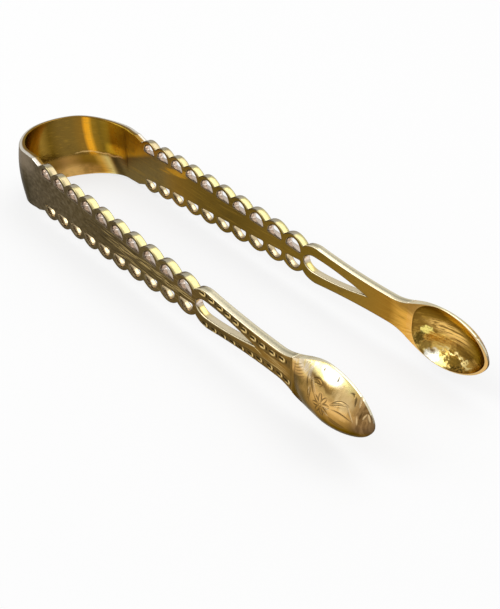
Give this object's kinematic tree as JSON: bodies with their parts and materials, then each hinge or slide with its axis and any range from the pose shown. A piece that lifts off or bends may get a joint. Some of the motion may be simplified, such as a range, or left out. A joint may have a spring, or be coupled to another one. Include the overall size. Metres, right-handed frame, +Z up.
{
  "type": "sugar tongs",
  "caption": "Gilt brass sugar tongs: a sprung bow, pierced scalloped arms with teardrop stems, and spoon bowls that close on a lump of sugar.",
  "frame": {"origin": "Centre of the footprint, on the surface that the tongs lie on.", "axes": "+X from the bow to the bowls, +Y to the left arm, +Z up, across the width of the band."},
  "size_m": [0.1286, 0.033, 0.0157],
  "materials": {
    "bow_brass": "polished",
    "arm_brass": "satin",
    "bowl_brass": "polished",
    "solder": "satin"
  },
  "bodies": {
    "bow": {"bow": "bow_brass"},
    "right_arm": {"right_arm": "arm_brass", "right_bowl": "bowl_brass", "right_bow_solder": "solder", "right_bowl_solder": "solder"},
    "left_arm": {"left_arm": "arm_brass", "left_bowl": "bowl_brass", "left_bow_solder": "solder", "left_bowl_solder": "solder"}
  },
  "joints": [
    {"name": "right_arm_flex", "type": "hinge", "parent": "bow", "child": "right_arm", "pos_m": [-0.0581, -0.0083, 0.00785], "axis": [0, 0, 1], "range_deg": [-2, 5.8], "stiffness_Nm_per_rad": 7.5, "deforming": ["bow"]},
    {"name": "left_arm_flex", "type": "hinge", "parent": "bow", "child": "left_arm", "pos_m": [-0.0581, 0.0083, 0.00785], "axis": [0, 0, -1], "range_deg": [-2, 5.8], "stiffness_Nm_per_rad": 7.5, "deforming": ["bow"]}
  ],
  "couplings": [
    {"joint": "left_arm_flex", "follows": "right_arm_flex", "ratio": 1}
  ]
}
